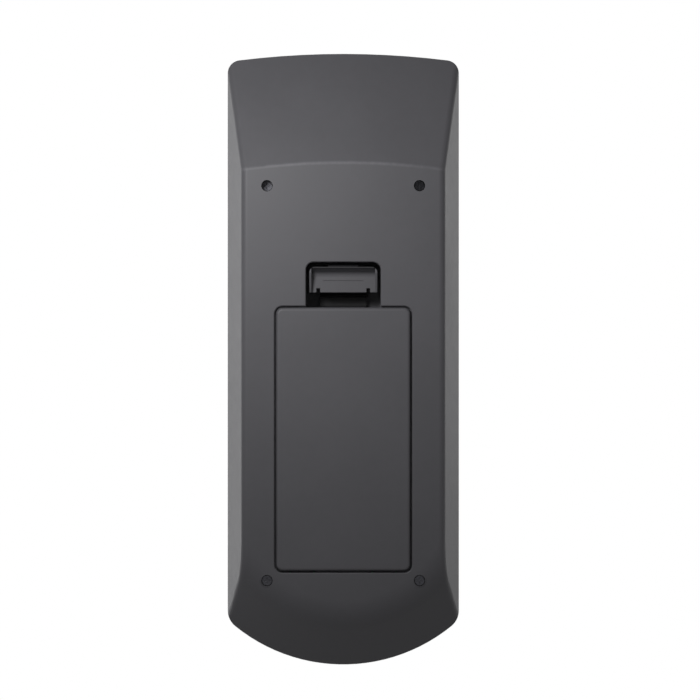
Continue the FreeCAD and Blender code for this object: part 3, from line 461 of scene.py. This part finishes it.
def triangle(x, y, size, angle):
    """A triangle whose tip points along the angle."""
    turn = math.radians(angle)
    corners = [(size * 0.62, 0), (-size * 0.38, size * 0.56), (-size * 0.38, -size * 0.56)]
    return [(x + u * math.cos(turn) - v * math.sin(turn), y + u * math.sin(turn) + v * math.cos(turn))
            for u, v in corners]


def stroke(points, width):
    """A line of straight legs, each a quad."""
    legs = []
    for (x0, y0), (x1, y1) in zip(points, points[1:]):
        run = math.hypot(x1 - x0, y1 - y0)
        nx, ny = -(y1 - y0) / run * width / 2, (x1 - x0) / run * width / 2
        legs.append([(x0 + nx, y0 + ny), (x0 - nx, y0 - ny), (x1 - nx, y1 - ny), (x1 + nx, y1 + ny)])
    return legs


ink = plain_print("ink_pale", (0.62, 0.63, 0.64))
dark_ink = plain_print("ink_dark", (0.03, 0.03, 0.035))


def sign(key, shapes, material=ink, shift=(0.0, 0.0)):
    """A sign of one or more outlines, on the key's middle or shifted from it."""
    bm = bmesh.new()
    base = key_top(key) + Vector((shift[0] * MM, shift[1] * MM, 0))
    prism_mesh(bm, shapes, base, PRINT_HEIGHT)
    piece = mesh_piece("sign_" + key, bm, material)
    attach(piece, key)


def digit(key, text, height, material):
    """A plain digit, centred on the key."""
    curve = bpy.data.curves.new("digit_" + key, "FONT")
    curve.body = text
    curve.align_x, curve.align_y = "CENTER", "CENTER"
    curve.size = height * MM
    curve.extrude = PRINT_HEIGHT / 2 * MM
    curve.resolution_u = 4
    holder = bpy.data.objects.new("digit_holder_" + key, curve)
    bpy.context.scene.collection.objects.link(holder)
    bpy.context.view_layer.update()
    mesh = bpy.data.meshes.new_from_object(holder.evaluated_get(bpy.context.evaluated_depsgraph_get()))
    bpy.data.objects.remove(holder)
    low = Vector(min(v.co[i] for v in mesh.vertices) for i in range(3))
    high = Vector(max(v.co[i] for v in mesh.vertices) for i in range(3))
    offset = key_top(key) - (low + high) / 2 + Vector((0, 0, (high.z - low.z) / 2))
    for vertex in mesh.vertices:
        vertex.co += offset
    mesh.materials.clear()
    mesh.materials.append(material)
    piece = bpy.data.objects.new("digit_" + key, mesh)
    bpy.context.scene.collection.objects.link(piece)
    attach(piece, key)


# Power keys, and the inputs as one to four dots above one to four squares
sign("power_key", arc_band(1.15, LINE, 125, 415) + [bar(0, 1.0, LINE, 1.5)])
sign("source_power_key", arc_band(1.05, LINE, 0, 360))
for number in range(1, 9):
    pips = (number - 1) % 4 + 1
    places = [(k - (pips - 1) / 2) * 1.25 for k in range(pips)]
    dots = [disc(x, 0.0, 0.36) for x in places]
    squares = [bar(x, 0.0, 0.62, 0.62) for x in places]
    sign(f"input_key_{number}", dots if number <= 4 else squares)

# Volume, channel and mute
sign("volume_up_key", [plus(2.2, 0.42)])
sign("volume_down_key", [bar(0, 0, 2.2, 0.42)])
sign("channel_up_key", [triangle(0, 0, 1.9, 90)])
sign("channel_down_key", [triangle(0, 0, 1.9, 270)])
speaker = [(-1.3, -0.4), (-0.7, -0.4), (0.1, -1.0), (0.1, 1.0), (-0.7, 0.4), (-1.3, 0.4)]
cross = stroke([(0.6, -0.5), (1.6, 0.5)], 0.28) + stroke([(0.6, 0.5), (1.6, -0.5)], 0.28)
sign("mute_key", [speaker] + cross)

# The cursor ring's arrows stand on one circle, and the corner keys around it have signs of their own
CURSOR_CIRCLE = 11.45
ring_middle = (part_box("cursor_up_key")[1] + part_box("cursor_down_key")[0]) / 2
for name, angle in (("right", 0), ("up", 90), ("left", 180), ("down", 270)):
    key = f"cursor_{name}_key"
    turn = math.radians(angle)
    goal_x = ring_middle.x + CURSOR_CIRCLE * MM * math.cos(turn)
    goal_y = ring_middle.y + CURSOR_CIRCLE * MM * math.sin(turn)
    top = key_top(key)
    sign(key, [triangle(0, 0, 2.0, angle)], shift=((goal_x - top.x) / MM, (goal_y - top.y) / MM))
sign("enter_key", arc_band(2.1, 0.32, 0, 360, 36), dark_ink)
sign("menu_key", [bar(0, y, 2.3, LINE) for y in (-0.8, 0.0, 0.8)])
roof = stroke([(-1.5, 0.1), (0, 1.35), (1.5, 0.1)], LINE)
sign("home_key", roof + stroke([(-1.0, 0.35), (-1.0, -1.15), (1.0, -1.15), (1.0, 0.35)], LINE))
teeth = [bar(x, y, 0.42, 0.42) for x, y in ((1.35, 0), (0, 1.35), (-1.35, 0), (0, -1.35))]
sign("setup_key", arc_band(0.85, 0.36, 0, 360) + teeth)
sign("back_key", [triangle(-1.0, 0.62, 1.3, 180)] + stroke([(-0.6, 0.62), (0.75, 0.62)], LINE)
     + arc_band(0.62, LINE, -90, 90, 12) + stroke([(0.0, -0.62), (-1.0, -0.62)], LINE))

# Transport
pair = [triangle(-0.75, 0, 1.5, 0), triangle(0.75, 0, 1.5, 0)]
back_pair = [triangle(-0.75, 0, 1.5, 180), triangle(0.75, 0, 1.5, 180)]
sign("previous_key", back_pair + [bar(-1.95, 0, 0.32, 1.7)])
sign("play_key", [triangle(0, 0, 2.0, 0)])
sign("next_key", pair + [bar(1.95, 0, 0.32, 1.7)])
sign("rewind_key", back_pair)
sign("stop_key", [bar(0, 0, 1.7, 1.7)])
sign("forward_key", pair)

# Digits, and the keys beside the zero
for number in range(10):
    digit(f"number_key_{number}", str(number), 4.1, dark_ink)
sign("clear_key", stroke([(-0.8, -0.8), (0.8, 0.8)], LINE) + stroke([(-0.8, 0.8), (0.8, -0.8)], LINE))
sign("recall_key", arc_band(0.95, LINE, 60, 360) + [triangle(1.0, 0.35, 1.0, 90)])


# Studio: a pale floor that the back rests on, white surroundings and soft lamps
def stage_floor():
    """A sheet of pale matt paper just under the back. The camera and the lamp under it see through it."""
    reach = 1.5
    level = -0.2 * MM
    corners = ((-reach, -reach), (reach, -reach), (reach, reach), (-reach, reach))
    bm = bmesh.new()
    bm.faces.new([bm.verts.new((x, y, level)) for x, y in corners])
    s = Shader("floor_paper")
    paper = s.noise(60, 3, 0.5)
    base = s.scaled((0.86, 0.86, 0.86), s.between(paper, 0.3, 0.7, 0.985, 1.0))
    s.finish(base, s.between(paper, 0.3, 0.7, 0.7, 0.8), Specular_IOR_Level=0.1,
             Emission_Color=(1, 1, 1, 1), Emission_Strength=0.25)
    clear = s.node("ShaderNodeBsdfTransparent")
    choose = s.node("ShaderNodeMixShader")
    s.link(s.node("ShaderNodeNewGeometry").outputs["Backfacing"], choose.inputs["Fac"])
    s.link(s.surface.outputs["BSDF"], choose.inputs[1])
    s.link(clear.outputs["BSDF"], choose.inputs[2])
    s.link(choose.outputs["Shader"], s.output.inputs["Surface"])
    floor = mesh_piece("floor", bm, s.material)
    for rays in ("diffuse", "glossy", "transmission", "shadow"):
        setattr(floor, "visible_" + rays, False)


def softbox(name, place, aim, width, height, strength, only=()):
    """A rectangular lamp at the place, turned towards the aim. If nodes are named, it lights only these."""
    lamp = bpy.data.lights.new(name, "AREA")
    lamp.shape = "RECTANGLE"
    lamp.size, lamp.size_y = width, height
    lamp.energy = strength
    holder = bpy.data.objects.new(name, lamp)
    bpy.context.scene.collection.objects.link(holder)
    holder.location = place
    holder.rotation_mode = "QUATERNION"
    holder.rotation_quaternion = (Vector(aim) - Vector(place)).to_track_quat("-Z", "Y")
    holder.visible_camera = False
    if only:
        lit = bpy.data.collections.new(name + "_lights")
        for node in only:
            lit.objects.link(nodes[node])
        holder.light_linking.receiver_collection = lit


def surroundings(lower, upper):
    """White to the camera and in reflections. Its soft light is dim below the horizon and bright above it."""
    world = bpy.data.worlds.new("studio_white")
    bpy.context.scene.world = world
    world.use_nodes = True
    tree = world.node_tree
    tree.nodes.clear()
    place = tree.nodes.new("ShaderNodeTexCoord")
    apart = tree.nodes.new("ShaderNodeSeparateXYZ")
    tree.links.new(place.outputs["Generated"], apart.inputs["Vector"])
    ramp = tree.nodes.new("ShaderNodeMapRange")
    ramp.interpolation_type = "SMOOTHSTEP"
    for key, value in zip(("From Min", "From Max", "To Min", "To Max"), (-0.10, 0.35, lower, upper)):
        ramp.inputs[key].default_value = value
    tree.links.new(apart.outputs["Z"], ramp.inputs["Value"])
    path = tree.nodes.new("ShaderNodeLightPath")
    seen = path.outputs["Is Camera Ray"]
    for ray in ("Is Glossy Ray", "Is Transmission Ray"):
        either = tree.nodes.new("ShaderNodeMath")
        either.operation = "MAXIMUM"
        tree.links.new(seen, either.inputs[0])
        tree.links.new(path.outputs[ray], either.inputs[1])
        seen = either.outputs["Value"]
    pick = tree.nodes.new("ShaderNodeMix")
    tree.links.new(seen, pick.inputs["Factor"])
    tree.links.new(ramp.outputs["Result"], pick.inputs["A"])
    pick.inputs["B"].default_value = 1.0
    light = tree.nodes.new("ShaderNodeBackground")
    light.inputs["Color"].default_value = (1, 1, 1, 1)
    tree.links.new(pick.outputs["Result"], light.inputs["Strength"])
    out = tree.nodes.new("ShaderNodeOutputWorld")
    tree.links.new(light.outputs["Background"], out.inputs["Surface"])


stage_floor()
surroundings(0.06, 0.60)
back_pieces = ["rear_housing", "battery_door", "door_latch", "case_screws", "battery_cell_left",
               "battery_cell_right"] + contacts
softbox("key_lamp", (0.05, 0.068, -0.12), (0.01, 0.04, 0.0), 0.035, 0.035, 0.171, only=back_pieces)
softbox("side_lamp_left", (0.32, 0.01, 0.33), (0.0, 0.0, 0.01), 0.50, 0.15, 0.66)
softbox("side_lamp_right", (-0.32, 0.12, 0.33), (0.0, 0.01, 0.01), 0.30, 0.15, 0.39)

# Camera: straight on to the back, with the picture's framing
camera = bpy.data.cameras.new("camera")
camera.sensor_width = 36
camera.lens = 600
holder = bpy.data.objects.new("camera", camera)
bpy.context.scene.collection.objects.link(holder)
rim_height = 10.5 * MM
distance_to_rim = 3.13
holder.location = (-1.80 * MM, 2.47 * MM, rim_height - distance_to_rim)
holder.rotation_euler = (0, math.pi, 0)
bpy.context.scene.camera = holder
bpy.context.scene.view_settings.view_transform = "Standard"
